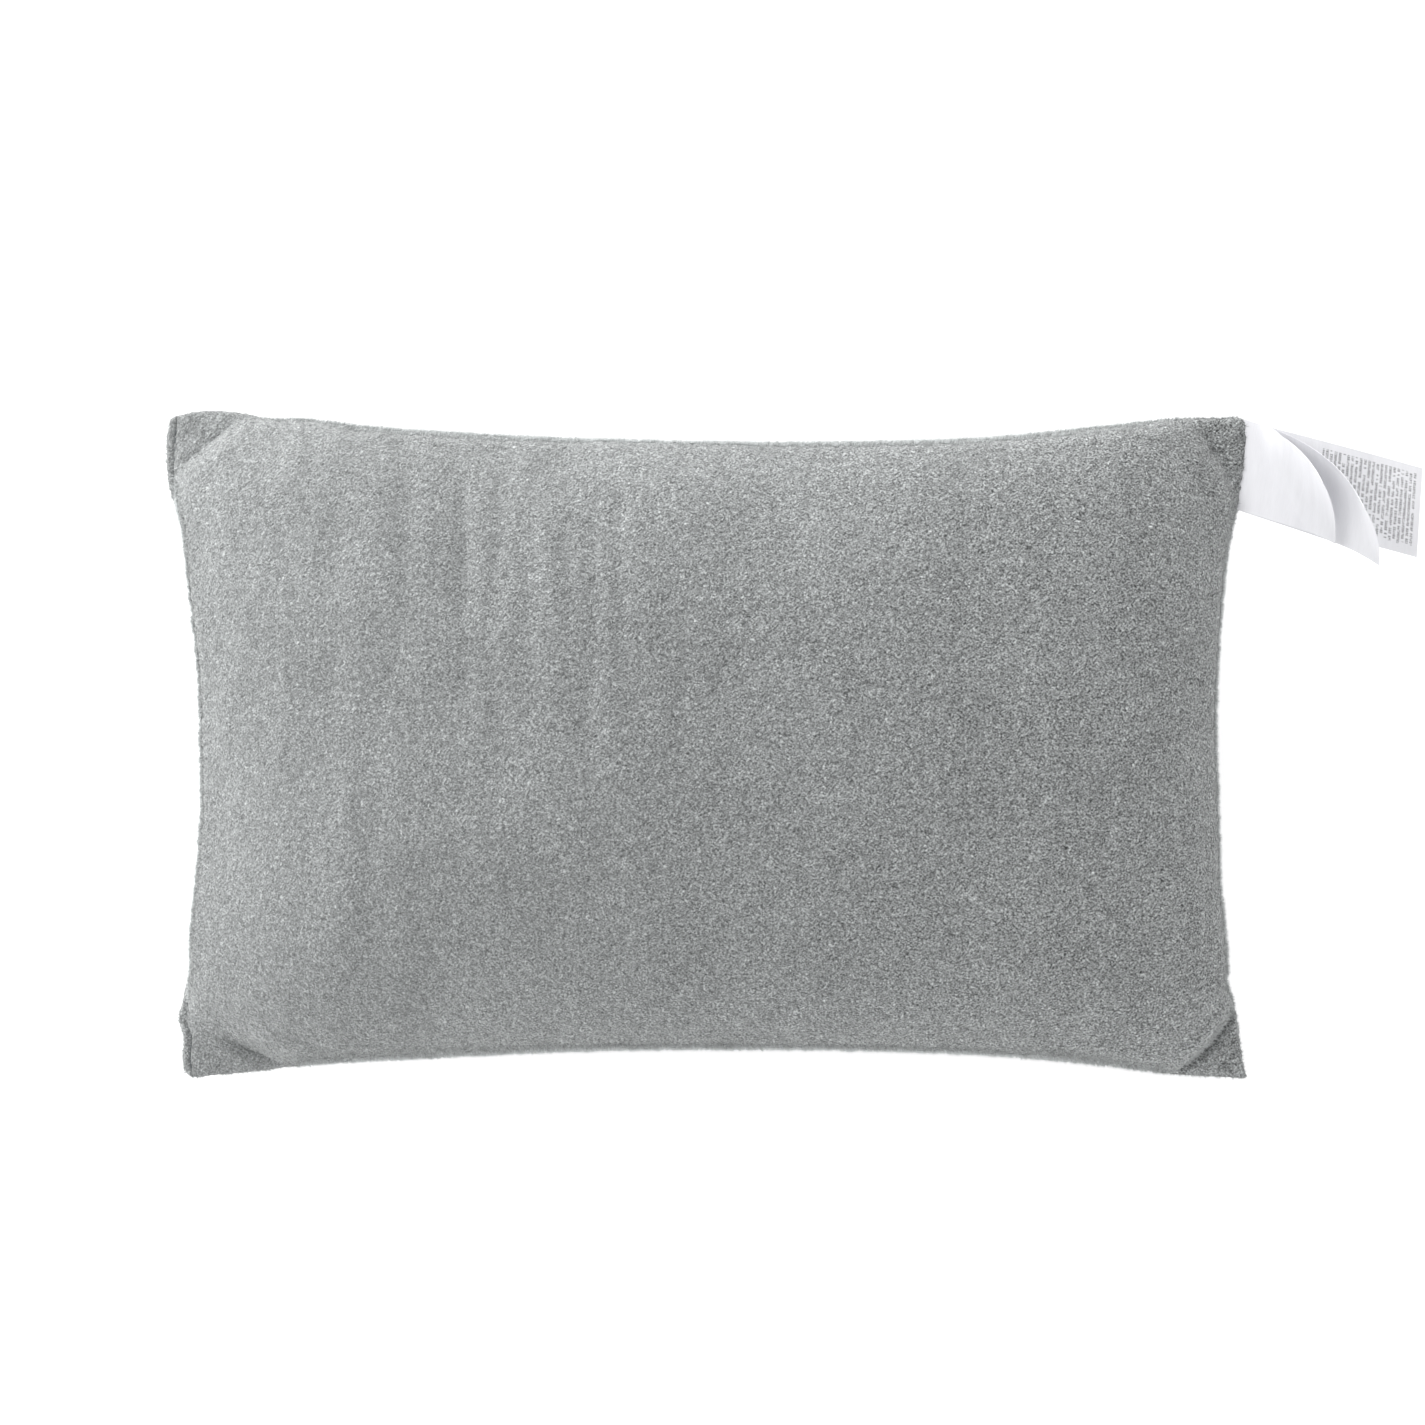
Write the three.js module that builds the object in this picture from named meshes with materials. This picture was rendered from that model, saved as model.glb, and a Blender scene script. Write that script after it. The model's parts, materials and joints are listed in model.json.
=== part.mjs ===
// A small camp pillow: two fleece panels sewn round their edges, a fibre fill, the threads of its
// seams, and a care label of three satin leaves in one short side.
// Millimetres, +Z up. The pillow lies on its back panel, with X along its long side. The origin is
// at the centre of the flat patch that it rests on.

import * as THREE from 'three';
import { mergeVertices } from 'three/addons/utils/BufferGeometryUtils.js';

// ---- Driving dimensions ----

const LENGTH = 401;            // between the corners, along X
const WIDTH = 248;             // between the corners, along Y
const SIDE_PULL = 11.5;        // how far each side draws in between its corners
const SEAM_HEIGHT = 40;        // of the plane where the two panels meet
const FRONT_RISE = 50;         // of the front panel's crown above that plane
const BACK_DEPTH = 46;         // of the back panel's belly, before the ground flattens it

const FLEECE = 2;              // cloth thickness
const SEAM_GAP = 0.4;          // between the two panels where they meet
const FILL_GAP = 1.5;          // between the fill and the cloth round it
const CLOSING_LIP = 5;         // flat edge outside the closing stitch, on the -X side
const EDGE_FOLD = 2;           // flat edge on the three turned seams

const THREAD_RADIUS = 0.25;
const CLOSING_STITCH_INSET = 3.6;   // from the edge of the panels to each row of stitching
const SEAM_STITCH_INSET = 4.2;
const OVERLOCK_INSET = 9;
const FILL_INSET = 11.5;

const LEAF_WIDTH = 33;         // of the label's ribbon
const LEAF_THICKNESS = 0.3;
const LEAF_PITCH = 0.65;       // between the leaves where they leave the seam
const LEAF_STANDOFF = 1.7;     // from the edge of the panels to the root of each leaf
const LABEL_FROM_CORNER = 4;   // along the +X side, from the +Y corner to the label

// The leaves, from the lowest to the highest. Each leaves the seam at its own angle to +X, bends
// down at its own rate along its length, and curls up along its +Y edge by curl at its far end.
const LEAVES = [
  { name: 'label_leaf_back', length: 71, angle: -14, bendRate: 0.0050, curl: 0 },
  { name: 'label_leaf_middle', length: 59.5, angle: -18, bendRate: 0.0046, curl: 135 },
  { name: 'label_leaf_front', length: 39.5, angle: -17, bendRate: 0.0042, curl: 110 },
];
const CURL_GROWTH = 1.8;       // how late along a leaf its curl comes
const LEAF_END_SKEW = 0.045;   // how much shorter a leaf is along its +Y edge

// ---- Materials ----

function cloth(color, roughness) {
  return new THREE.MeshStandardMaterial({ color, roughness, metalness: 0 });
}

const fleeceMaterial = cloth(0x959898, 0.95);
const fibreMaterial = cloth(0xf0f0ec, 1.0);
const threadMaterial = cloth(0x6c7072, 0.7);
const satinMaterial = cloth(0xf4f4f6, 0.45);

// ---- The shape of the pillow ----

const HALF_LENGTH = LENGTH / 2;
const HALF_WIDTH = WIDTH / 2;
const PULL_POWER = 1.8;        // how the sides draw in: 2 would be a parabola
const LONG_POWER = 3.0;        // how square the crown is along X, and along Y
const SHORT_POWER = 2.6;
const SHOULDER = 0.6;          // under 1, the crown rises steeply from the seam

// The plan of the pillow, shrunk by inset. u and v run from -1 to 1 between opposite sides.
function planPoint(u, v, inset) {
  const drawnX = SIDE_PULL * (1 - Math.abs(v) ** PULL_POWER) * u * u;
  const drawnY = SIDE_PULL * (1 - Math.abs(u) ** PULL_POWER) * v * v;
  return new THREE.Vector2(
    u * (HALF_LENGTH - drawnX - inset),
    v * (HALF_WIDTH - drawnY - inset),
  );
}

// How full the pillow is across one direction: 0 up to margin from the side, and 1 in the middle.
function fullness(distanceFromSide, half, margin, power) {
  const inside = THREE.MathUtils.clamp((distanceFromSide - margin) / (half - margin), 0, 1);
  return (1 - (1 - inside) ** power) ** SHOULDER;
}

// How full the pillow is at a place whose plan was shrunk by inset: 0 at the seams, 1 at the centre.
// extra widens the flat edge, which makes the inner face of a panel.
function crown(u, v, inset, extra) {
  const fromSideX = inset + (1 - Math.abs(u)) * (HALF_LENGTH - inset);
  const fromSideY = inset + (1 - Math.abs(v)) * (HALF_WIDTH - inset);
  const edgeX = (u < 0 ? CLOSING_LIP : EDGE_FOLD) + extra;
  const edgeY = EDGE_FOLD + extra;
  return (
    fullness(fromSideX, HALF_LENGTH, edgeX, LONG_POWER) *
    fullness(fromSideY, HALF_WIDTH, edgeY, SHORT_POWER)
  );
}

// A box divided into a grid and moved point by point: place(u, v, w) gets numbers from -1 to 1.
function shapedBox(columns, rows, place) {
  const box = new THREE.BoxGeometry(2, 2, 2, columns, rows, 1);
  box.deleteAttribute('normal');
  box.deleteAttribute('uv');
  const geometry = mergeVertices(box);
  const points = geometry.attributes.position;
  for (let i = 0; i < points.count; i += 1) {
    const moved = place(points.getX(i), points.getY(i), points.getZ(i));
    points.setXYZ(i, moved.x, moved.y, moved.z);
  }
  geometry.computeVertexNormals();
  return geometry;
}

// Where a grid line lies, from -1 to 1: the outermost cell is the flat edge of a panel, and the
// lines inside it bunch towards the edge, where the shape turns fastest.
function gridLine(s, cells, flatEdge, half) {
  const inner = Math.abs(s) / (1 - 2 / cells);
  if (inner > 1.001) return Math.sign(s);
  return Math.sign(s) * Math.sin((inner * Math.PI) / 2) * (1 - flatEdge / half);
}

function gridU(s, columns) {
  return gridLine(s, columns, s < 0 ? CLOSING_LIP : EDGE_FOLD, HALF_LENGTH);
}

function gridV(t, rows) {
  return gridLine(t, rows, EDGE_FOLD, HALF_WIDTH);
}

// ---- Panels and fill ----

const PANEL_COLUMNS = 26;
const PANEL_ROWS = 18;
const FILL_COLUMNS = 20;
const FILL_ROWS = 14;

function frontPanel() {
  const foot = SEAM_HEIGHT + SEAM_GAP / 2;
  const geometry = shapedBox(PANEL_COLUMNS, PANEL_ROWS, (s, t, w) => {
    const u = gridU(s, PANEL_COLUMNS);
    const v = gridV(t, PANEL_ROWS);
    const plan = planPoint(u, v, 0);
    const outer = w > 0;
    const full = crown(u, v, 0, outer ? 0 : FLEECE);
    const z = foot + (outer ? FLEECE : 0) + (FRONT_RISE - FLEECE) * full;
    return new THREE.Vector3(plan.x, plan.y, z);
  });
  return new THREE.Mesh(geometry, fleeceMaterial);
}

function backPanel() {
  const top = SEAM_HEIGHT - SEAM_GAP / 2;
  const geometry = shapedBox(PANEL_COLUMNS, PANEL_ROWS, (s, t, w) => {
    const u = gridU(s, PANEL_COLUMNS);
    const v = gridV(t, PANEL_ROWS);
    const plan = planPoint(u, v, 0);
    const outer = w < 0;
    const full = crown(u, v, 0, outer ? 0 : FLEECE);
    const z = top - (outer ? FLEECE : 0) - (BACK_DEPTH - FLEECE) * full;
    return new THREE.Vector3(plan.x, plan.y, Math.max(z, outer ? 0 : FLEECE));
  });
  return new THREE.Mesh(geometry, fleeceMaterial);
}

function fibreFill() {
  const half = SEAM_GAP / 2 - FILL_GAP;
  const geometry = shapedBox(FILL_COLUMNS, FILL_ROWS, (s, t, w) => {
    const u = Math.sin((s * Math.PI) / 2);
    const v = Math.sin((t * Math.PI) / 2);
    const plan = planPoint(u, v, FILL_INSET);
    const full = crown(u, v, FILL_INSET, FLEECE + FILL_GAP);
    const rise = half + (FRONT_RISE - FLEECE) * full;
    const depth = half + (BACK_DEPTH - FLEECE) * full;
    const low = Math.max(SEAM_HEIGHT - depth, FLEECE + FILL_GAP);
    return new THREE.Vector3(plan.x, plan.y, w > 0 ? SEAM_HEIGHT + rise : low);
  });
  return new THREE.Mesh(geometry, fibreMaterial);
}

// ---- Threads ----

const THREAD_STEPS = 20;
const THREAD_SIDES = 6;
const THREAD_END = 0.93;       // how far towards each corner the rows run, of the half side

const SIDES = {
  left: (along, inset) => planPoint(-1, along, inset),
  right: (along, inset) => planPoint(1, along, inset),
  top: (along, inset) => planPoint(along, 1, inset),
  bottom: (along, inset) => planPoint(along, -1, inset),
};

// A row of stitching as one plain run of thread, along one side at a height.
function threadRun(side, inset, z, end = THREAD_END) {
  const places = [-1, -0.75, -0.5, -0.25, 0, 0.25, 0.5, 0.75, 1];
  const route = places.map((place) => {
    const plan = SIDES[side](place * end, inset);
    return new THREE.Vector3(plan.x, plan.y, z);
  });
  const section = new THREE.Shape();
  for (let i = 0; i < THREAD_SIDES; i += 1) {
    const turn = (i / THREAD_SIDES) * 2 * Math.PI;
    const x = THREAD_RADIUS * Math.cos(turn);
    const y = THREAD_RADIUS * Math.sin(turn);
    if (i === 0) section.moveTo(x, y);
    else section.lineTo(x, y);
  }
  section.closePath();
  const geometry = new THREE.ExtrudeGeometry(section, {
    steps: THREAD_STEPS,
    extrudePath: new THREE.CatmullRomCurve3(route),
  });
  return new THREE.Mesh(geometry, threadMaterial);
}

// The closing stitch runs the whole side, on the outside of both panels.
function closingStitch(face) {
  const offset = SEAM_GAP / 2 + FLEECE + THREAD_RADIUS + 0.3;
  return threadRun('left', CLOSING_STITCH_INSET, SEAM_HEIGHT + face * offset, 0.97);
}

// ---- Label ----

const LEAF_COLUMNS = 14;
const LEAF_ROWS = 8;

const labelTop = HALF_WIDTH - LABEL_FROM_CORNER;
const seamTop = planPoint(1, labelTop / HALF_WIDTH, -LEAF_STANDOFF);
const seamBottom = planPoint(1, (labelTop - LEAF_WIDTH) / HALF_WIDTH, -LEAF_STANDOFF);
const acrossLeaf = seamTop.clone().sub(seamBottom).normalize();

// One leaf: s runs along it from the seam, t across it towards the +Y corner.
function labelLeaf({ length, angle, bendRate, curl }, rootHeight) {
  const turn = THREE.MathUtils.degToRad(angle);
  const along = new THREE.Vector2(Math.cos(turn), Math.sin(turn));
  const endCurl = THREE.MathUtils.degToRad(curl);
  const geometry = shapedBox(LEAF_COLUMNS, LEAF_ROWS, (s, t, w) => {
    const far = (s + 1) / 2;
    const side = (t + 1) / 2;
    const run = far * length * (1 - LEAF_END_SKEW * side);
    const bend = bendRate * run;
    const reach = run * (1 - (bend * bend) / 6);
    const drop = (bendRate * run * run) / 2;
    const curve = Math.max(endCurl * far ** CURL_GROWTH, 1e-4);
    const radius = LEAF_WIDTH / curve;
    const sweep = curve * side;
    const off = (w * LEAF_THICKNESS) / 2;
    const across = radius * Math.sin(sweep) - off * Math.sin(sweep);
    const up = radius * (1 - Math.cos(sweep)) + off * Math.cos(sweep);
    return new THREE.Vector3(
      seamBottom.x + along.x * reach + acrossLeaf.x * across,
      seamBottom.y + along.y * reach + acrossLeaf.y * across,
      rootHeight - drop + up,
    );
  });
  return new THREE.Mesh(geometry, satinMaterial);
}

// ---- The pillow ----

const pillow = new THREE.Group();

function add(name, mesh) {
  mesh.name = name;
  pillow.add(mesh);
}

add('front_panel', frontPanel());
add('back_panel', backPanel());
add('fibre_fill', fibreFill());
add('closing_stitch_needle_thread', closingStitch(1));
add('closing_stitch_bobbin_thread', closingStitch(-1));
for (const side of ['top', 'bottom', 'right']) {
  add(`${side}_seam_thread`, threadRun(side, SEAM_STITCH_INSET, SEAM_HEIGHT));
  add(`${side}_overlock_thread`, threadRun(side, OVERLOCK_INSET, SEAM_HEIGHT));
}
LEAVES.forEach((leaf, level) => {
  add(leaf.name, labelLeaf(leaf, SEAM_HEIGHT + (level - 1) * LEAF_PITCH));
});

export default pillow;
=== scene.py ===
import json
import math
from collections import namedtuple

import bmesh
import bpy
import numpy as np
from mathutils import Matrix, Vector


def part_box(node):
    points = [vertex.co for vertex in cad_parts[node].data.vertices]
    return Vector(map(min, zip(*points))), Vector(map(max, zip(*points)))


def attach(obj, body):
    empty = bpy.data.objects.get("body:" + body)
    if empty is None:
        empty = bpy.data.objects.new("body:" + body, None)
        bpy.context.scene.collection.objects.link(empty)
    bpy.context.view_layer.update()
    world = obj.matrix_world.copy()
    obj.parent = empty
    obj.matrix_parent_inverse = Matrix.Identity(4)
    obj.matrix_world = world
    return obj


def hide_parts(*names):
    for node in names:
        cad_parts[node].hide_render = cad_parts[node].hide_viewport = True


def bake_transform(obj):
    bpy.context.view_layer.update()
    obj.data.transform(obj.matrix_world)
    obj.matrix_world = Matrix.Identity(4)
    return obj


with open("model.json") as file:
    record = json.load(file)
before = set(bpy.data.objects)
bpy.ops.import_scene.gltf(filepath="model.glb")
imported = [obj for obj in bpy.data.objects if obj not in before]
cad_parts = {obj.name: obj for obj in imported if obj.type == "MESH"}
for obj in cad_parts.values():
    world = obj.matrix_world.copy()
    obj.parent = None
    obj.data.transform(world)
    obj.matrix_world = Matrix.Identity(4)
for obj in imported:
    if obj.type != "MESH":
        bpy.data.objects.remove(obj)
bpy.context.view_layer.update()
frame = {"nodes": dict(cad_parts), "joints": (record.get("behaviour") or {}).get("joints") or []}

MM = 0.001
seeded = np.random.default_rng(7)

# ---------------------------------------------------------------- sizes from the frame

front_low, front_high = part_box("front_panel")
back_low, back_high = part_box("back_panel")
SEAM_Z = (front_low.z + back_high.z) / 2
CROWN = front_high.z - SEAM_Z
BELLY = SEAM_Z - back_low.z

# The sewn edges as they lie, in millimetres: listed points, joined by smooth curves.
TOP_EDGE = (
    (-201, 123.4), (-188, 125.0), (-176, 124.0), (-166, 121.6), (-152, 121.3), (-130, 118.6),
    (-90, 115.6), (-40, 113.2), (15, 112.1), (60, 112.5), (104, 114.1), (140, 117.8),
    (172, 121.2), (200, 123.2),
)
BOTTOM_EDGE = (
    (-196, -123.6), (-174, -121.4), (-150, -118.0), (-100, -114.7), (-45, -112.0), (10, -111.2),
    (60, -111.8), (105, -113.8), (150, -118.4), (176, -121.6), (200, -124.0),
)
RIGHT_EDGE = (
    (-124.0, 200.3), (-108, 196.8), (-96, 194.6), (-90, 192.0), (-80, 191.9), (-50, 188.8),
    (-15, 187.6), (20, 187.4), (50, 189.1), (74, 192.2), (90, 195.8), (106, 198.8), (123.2, 200.4),
)
LIP_EDGE = (
    (-123.6, -196.0), (-114, -196.9), (-108, -196.2), (-102, -198.0), (-94, -196.3),
    (-84, -194.4), (-68, -192.8), (-45, -189.6), (0, -187.6), (45, -190.0), (60, -192.6),
    (74, -195.2), (84, -197.8), (96, -201.6), (110, -202.6), (123.4, -201.6),
)
LIP_WIDTH = 3.0 * MM
CLOTH = 1.8 * MM                 # how far the pile's surface stands off the sewn line
SEAM_COVER = 0.7                 # the share of that by which the pile also covers a turned seam

# How far the stuffed body bulges out over each side's seam, at the side's middle, and how far
# the sewn edges above are drawn in there.
BULGE = {"left": 7.4 * MM, "right": 2.8 * MM, "top": 2.8 * MM, "bottom": 2.8 * MM}
SEAM_INSET = {"right": 0.7 * MM, "top": 0.8 * MM, "bottom": 0.9 * MM}


# ---------------------------------------------------------------- small helpers

def link(obj):
    bpy.context.scene.collection.objects.link(obj)
    return obj


def mesh_object(name, points, faces, smooth=True):
    mesh = bpy.data.meshes.new(name)
    mesh.from_pydata(np.asarray(points).tolist(), [], np.asarray(faces).tolist())
    mesh.polygons.foreach_set("use_smooth", [smooth] * len(mesh.polygons))
    mesh.update()
    return link(bpy.data.objects.new(name, mesh))


def smoothstep(low, high, value):
    t = np.clip((value - low) / (high - low), 0, 1)
    return t * t * (3 - 2 * t)


def smooth_curve(points):
    """A function that runs smoothly through points given in millimetres, in metres."""
    at, value = np.array(sorted(points)).T * MM
    slope = np.gradient(value, at)

    def read(t):
        i = np.clip(np.searchsorted(at, t) - 1, 0, len(at) - 2)
        step = at[i + 1] - at[i]
        s = np.clip((t - at[i]) / step, 0, 1)
        start = value[i] * (1 + 2 * s) + slope[i] * step * s
        stop = value[i + 1] * (3 - 2 * s) - slope[i + 1] * step * (1 - s)
        return start * (1 - s) ** 2 + stop * s**2

    return read


def cubic_rows(where, count):
    """The matrix that reads a row of count numbers at fractional places, on a smooth curve."""
    rows = np.zeros((len(where), count))
    for k, place in enumerate(where):
        i = min(int(place), count - 2)
        t = place - i
        weights = (
            (-t + 2 * t**2 - t**3) / 2,
            (2 - 5 * t**2 + 3 * t**3) / 2,
            (t + 4 * t**2 - 3 * t**3) / 2,
            (-t**2 + t**3) / 2,
        )
        for offset, weight in zip((-1, 0, 1, 2), weights):
            j = i + offset
            if j < 0:
                rows[k, 0] += 2 * weight
                rows[k, 1] -= weight
            elif j >= count:
                rows[k, count - 1] += 2 * weight
                rows[k, count - 2] -= weight
            else:
                rows[k, j] += weight
    return rows


class Noise:
    """Smooth noise from -1 to 1 over a plane, with a cell size in each direction."""

    def __init__(self, cell_x, cell_y, seed):
        self.cells = (cell_x, cell_y)
        self.table = np.random.default_rng(seed).uniform(-1, 1, (256, 256))

    def __call__(self, x, y):
        x, y = x / self.cells[0] + 97.3, y / self.cells[1] + 61.7
        i, j = np.floor(x).astype(int), np.floor(y).astype(int)
        s, t = x - i, y - j
        s, t = s * s * (3 - 2 * s), t * t * (3 - 2 * t)

        def at(a, b):
            return self.table[(i + a) % 256, (j + b) % 256]

        low = at(0, 0) * (1 - s) + at(1, 0) * s
        high = at(0, 1) * (1 - s) + at(1, 1) * s
        return low * (1 - t) + high * t


def grid_normals(grid):
    along = np.gradient(grid, axis=0)
    across = np.gradient(grid, axis=1)
    normal = np.cross(along, across)
    return normal / np.maximum(np.linalg.norm(normal, axis=-1, keepdims=True), 1e-12)


def closed_pair(front, back):
    """Points and faces of the closed form whose upper and lower grids share their rim."""
    columns, rows = front.shape[:2]
    upper = np.arange(columns * rows).reshape(columns, rows)
    lower = upper.copy()
    inner = np.zeros((columns, rows), bool)
    inner[1:-1, 1:-1] = True
    lower[inner] = columns * rows + np.arange(inner.sum())
    points = np.concatenate([front.reshape(-1, 3), back[inner]])

    def quads(index, turned):
        corners = [index[:-1, :-1], index[1:, :-1], index[1:, 1:], index[:-1, 1:]]
        if turned:
            corners.reverse()
        return np.stack(corners, -1).reshape(-1, 4)

    return points, np.concatenate([quads(upper, False), quads(lower, True)]), upper, lower


def coons(left, right, bottom, top):
    """Fills in a grid between its four rows of rim values, smoothly."""
    p = np.linspace(0, 1, len(bottom))[:, None, None]
    q = np.linspace(0, 1, len(left))[None, :, None]
    corners = (
        (1 - p) * (1 - q) * left[0]
        + p * (1 - q) * right[0]
        + (1 - p) * q * left[-1]
        + p * q * right[-1]
    )
    sides = (1 - p) * left[None] + p * right[None]
    ends = (1 - q) * bottom[:, None] + q * top[:, None]
    return sides + ends - corners


# ---------------------------------------------------------------- the cover's simulated form

CELLS_X = 92
CELLS_Y = 56
FRAMES = 40
FULLNESS_X = 3.5                 # how square the stuffed form is along X, and along Y
FULLNESS_Y = 2.8
FILLED_TO = 1.02                 # the filled volume, as a share of the starting form's
STIFFNESS = 15
BENDING = 4
SWELL = 2.5 * MM                 # room over the starting form for what the filling adds
EAR_RISE = 36 * MM               # from an ear's crease to where the body is at its full height

# The corner ears. Each has its side in X and Y, and how far its crease runs from the corner
# along X and along Y; then how far the crease bows out towards the corner, how deep and wide it
# is, the part of its run where it is deepest (0 is by the short side, 1 by the long side), and
# how steeply the body rises from it: a smaller number is steeper.
Ear = namedtuple("Ear", "side_x side_y reach_x reach_y bow deep width deepest steepness")
EARS = (
    Ear(-1, 1, 23 * MM, 19 * MM, 0 * MM, 2.4 * MM, 2.6 * MM, (0.20, 0.80), 0.55),
    Ear(-1, -1, 40 * MM, 25 * MM, 1 * MM, 5.2 * MM, 4.2 * MM, (0.66, 0.95), 0.95),
    Ear(1, -1, 27 * MM, 33 * MM, 4 * MM, 5.2 * MM, 2.4 * MM, (0.20, 0.80), 0.38),
    Ear(1, 1, 17 * MM, 27 * MM, 0 * MM, 3.2 * MM, 3.4 * MM, (0.10, 0.80), 0.6),
)
CORNER_X = RIGHT_EDGE[0][1] * MM     # where the ears' corners are, on either side of the middle
CORNER_Y = TOP_EDGE[0][1] * MM


def away_from_ends(count, outer, inner):
    """1 over the middle of a row of count points, falling to 0 towards both of its ends."""
    return smoothstep(outer, inner, np.abs(np.linspace(-1, 1, count)))


def sewn_rim(count_x, count_y):
    """Points along the body's four sides: left and right upwards, bottom and top rightwards."""
    lip, right = smooth_curve(LIP_EDGE), smooth_curve(RIGHT_EDGE)
    bottom, top = smooth_curve(BOTTOM_EDGE), smooth_curve(TOP_EDGE)
    heights = np.linspace(LIP_EDGE[0][0], LIP_EDGE[-1][0], count_y) * MM
    left_side = np.stack([lip(heights) + LIP_WIDTH, heights, 0 * heights], -1)
    heights = np.linspace(RIGHT_EDGE[0][0], RIGHT_EDGE[-1][0], count_y) * MM
    right_side = np.stack([right(heights), heights, 0 * heights], -1)
    right_side[:, 0] -= SEAM_INSET["right"] * away_from_ends(count_y, 1.0, 0.6)
    inset = away_from_ends(count_x, 0.98, 0.72)
    along = np.linspace(left_side[0, 0], right_side[0, 0], count_x)
    bottom_side = np.stack([along, bottom(along) + SEAM_INSET["bottom"] * inset, 0 * along], -1)
    along = np.linspace(left_side[-1, 0], right_side[-1, 0], count_x)
    top_side = np.stack([along, top(along) - SEAM_INSET["top"] * inset, 0 * along], -1)
    for side, end, corner in (
        (bottom_side, 0, left_side[0]),
        (bottom_side, -1, right_side[0]),
        (top_side, 0, left_side[-1]),
        (top_side, -1, right_side[-1]),
    ):
        side[end] = corner
    return left_side, right_side, bottom_side, top_side


def shares_from_corner(x, y, ear):
    """How far a place lies from an ear's corner along X and Y, as shares of the crease's reach."""
    return (CORNER_X - x * ear.side_x) / ear.reach_x, (CORNER_Y - y * ear.side_y) / ear.reach_y


def past_crease(x, y, ear):
    """Distance from an ear's crease line into the body; it is below zero on the ear."""
    share_x, share_y = shares_from_corner(x, y, ear)
    outward = ear.bow * 4 * np.clip(share_x, 0, 1) * np.clip(share_y, 0, 1)
    return (share_x + share_y - 1) / math.hypot(1 / ear.reach_x, 1 / ear.reach_y) + outward


def along_crease(x, y, ear):
    """Where a place lies along an ear's crease: 0 at the short side, 1 at the long side."""
    share_x, share_y = shares_from_corner(x, y, ear)
    return (share_x - share_y + 1) / 2


def starting_form():
    """The form before filling: its two grids, and how firmly each point is held, from 0 to 1."""
    u, v = np.meshgrid(
        np.linspace(-1, 1, CELLS_X + 1), np.linspace(-1, 1, CELLS_Y + 1), indexing="ij"
    )
    flat = coons(*sewn_rim(CELLS_X + 1, CELLS_Y + 1))
    full = np.sqrt((1 - np.abs(u) ** FULLNESS_X) * (1 - np.abs(v) ** FULLNESS_Y))
    held = np.zeros(full.shape)
    held[0] = held[-1] = held[:, 0] = held[:, -1] = 1
    for ear in EARS:
        inward = past_crease(flat[..., 0], flat[..., 1], ear)
        share = np.clip(inward / EAR_RISE, 0, 1)
        full = full * (1 - (1 - share) ** 2) ** ear.steepness
        held = np.maximum(held, smoothstep(0, -10 * MM, inward))
    steep = full / 0.3 * np.exp(1 - full / 0.3)
    middle_x = (1 - np.abs(u) ** 3) * steep
    middle_y = (1 - np.abs(v) ** 3) * steep
    out_x = np.where(u < 0, -BULGE["left"], BULGE["right"]) * np.abs(u) ** 4 * middle_y
    out_y = np.where(v < 0, -BULGE["bottom"], BULGE["top"]) * np.abs(v) ** 4 * middle_x
    grids = []
    for height in (CROWN - CLOTH - SWELL, CLOTH - BELLY):
        grid = flat.copy()
        grid[..., 0] += out_x
        grid[..., 1] += out_y
        grid[..., 2] = height * full
        grids.append(grid)
    return *grids, held


def volume_between(front, back):
    """The volume between two grids that share their rim, from the tetrahedra under its faces."""
    points, faces = closed_pair(front, back)[:2]
    a, b, c, d = (points[faces[:, k]] for k in range(4))
    halves = np.einsum("ij,ij->i", a, np.cross(b, c)) + np.einsum("ij,ij->i", a, np.cross(c, d))
    return halves.sum() / 6


def inflate(front, back, held):
    """Fills the sewn form with a set volume by cloth simulation, and returns its two grids."""
    points, faces, upper, lower = closed_pair(front, back)
    obj = mesh_object("cover_cloth", points, faces)
    pinned = obj.vertex_groups.new(name="pinned")
    for level in range(1, 11):
        there = np.round(held * 10) == level
        pinned.add(np.unique([upper[there], lower[there]]).tolist(), level / 10, "REPLACE")
    modifier = obj.modifiers.new("cloth", "CLOTH")
    cloth = modifier.settings
    cloth.quality = 5
    cloth.mass = 0.3
    cloth.tension_stiffness = cloth.compression_stiffness = STIFFNESS
    cloth.shear_stiffness = 0.3 * STIFFNESS
    cloth.bending_stiffness = BENDING
    cloth.use_pressure = True
    cloth.use_pressure_volume = True
    cloth.target_volume = FILLED_TO * volume_between(front, back)
    cloth.pressure_factor = 500
    cloth.uniform_pressure_force = 0
    cloth.effector_weights.gravity = 0
    cloth.vertex_group_mass = "pinned"
    modifier.collision_settings.use_collision = False
    modifier.point_cache.frame_start = 1
    modifier.point_cache.frame_end = FRAMES
    scene = bpy.context.scene
    for step in range(1, FRAMES + 1):
        scene.frame_set(step)
    shaped = obj.evaluated_get(bpy.context.evaluated_depsgraph_get())
    settled = np.empty(len(points) * 3)
    shaped.data.vertices.foreach_get("co", settled)
    settled = settled.reshape(-1, 3)
    bpy.data.objects.remove(obj)
    scene.frame_set(1)
    return settled[upper], settled[lower]


def soften_creases(grid):
    """Evens out the grid's steps along each ear's crease, which crosses it at a slant."""
    nearest = min_over_ears(grid)
    weight = 0.5 * smoothstep(14 * MM, 4 * MM, nearest)[1:-1, 1:-1, None]
    for _ in range(6):
        inner = grid[1:-1, 1:-1]
        mean = (grid[:-2, 1:-1] + grid[2:, 1:-1] + grid[1:-1, :-2] + grid[1:-1, 2:]) / 4
        grid[1:-1, 1:-1] = inner + weight * (mean - inner)
    return grid


def min_over_ears(grid):
    return np.min([np.abs(past_crease(grid[..., 0], grid[..., 1], ear)) for ear in EARS], axis=0)


# ---------------------------------------------------------------- the cover's fine form

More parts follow.
